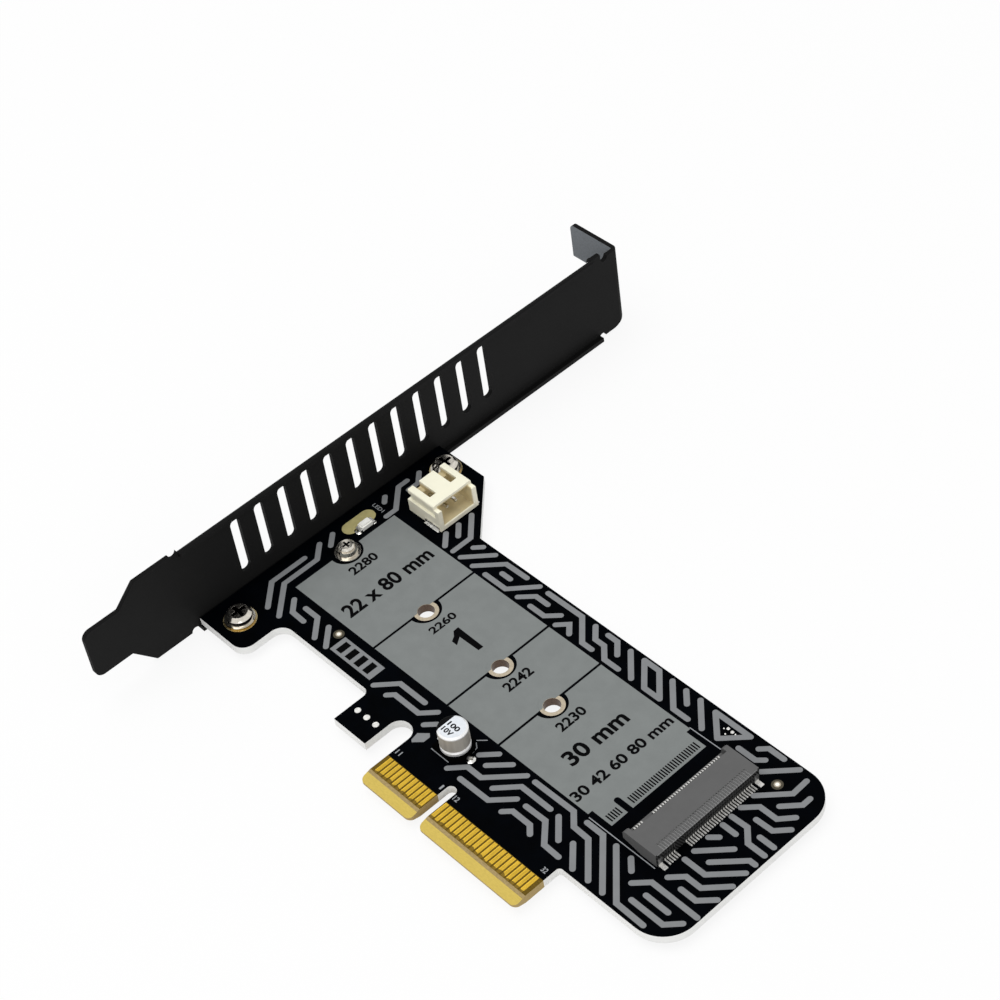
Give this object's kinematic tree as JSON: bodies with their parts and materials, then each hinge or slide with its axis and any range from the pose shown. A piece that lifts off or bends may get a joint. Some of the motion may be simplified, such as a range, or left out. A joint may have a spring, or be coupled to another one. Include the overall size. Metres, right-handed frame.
{
  "type": "solid-state drive adapter card",
  "caption": "Flat expansion card with an edge connector, a tall slotted mounting bracket, a flat module socket, module fixing holes, a capacitor and a small side-entry fan header.",
  "frame": {"origin": "middle of the key notch at the tip of the edge contacts, on the solder side of the board", "axes": "+X from the slot bracket towards the module socket, +Y from the edge contacts into the board, +Z out of the component side"},
  "size_m": [0.1144, 0.12, 0.019],
  "materials": {
    "solder_mask_black": "satin solder mask over glass-fibre laminate",
    "gold_plate": "gold plating on copper",
    "tinned_copper": "bright tin plating on copper alloy",
    "black_painted_steel": "satin black coating",
    "nickel_steel": "bright nickel plating",
    "nickel_brass": "bright nickel plating",
    "black_moulding": "matte glass-filled moulding",
    "drawn_aluminium": "bright drawn can",
    "ivory_moulding": "smooth ivory moulding",
    "white_resin": "glossy resin",
    "tan_ceramic": "matte ceramic",
    "black_resin": "matte resin"
  },
  "bodies": {
    "root": {"pcb": "solder_mask_black", "edge_contacts_front": "gold_plate", "edge_contacts_back": "gold_plate", "module_hole_plating": "tinned_copper", "screw_hole_plating": "tinned_copper", "bracket": "black_painted_steel", "bracket_screws": "nickel_steel", "module_standoff": "nickel_brass", "standoff_nut": "nickel_brass", "module_screw": "nickel_steel", "socket_housing": "black_moulding", "socket_rear_contacts": "tinned_copper", "socket_front_contacts": "tinned_copper", "socket_anchor_tabs": "tinned_copper", "capacitor_base": "black_moulding", "capacitor_can": "drawn_aluminium", "capacitor_leads": "tinned_copper", "header_housing": "ivory_moulding", "header_pins": "tinned_copper", "header_fixing_tabs": "tinned_copper", "led_body": "white_resin", "led_terminals": "tinned_copper", "chip_capacitors": "tan_ceramic", "chip_resistors": "black_resin", "chip_terminals": "tinned_copper", "fiducial_pads": "tinned_copper", "test_pads": "gold_plate"}
  },
  "joints": []
}
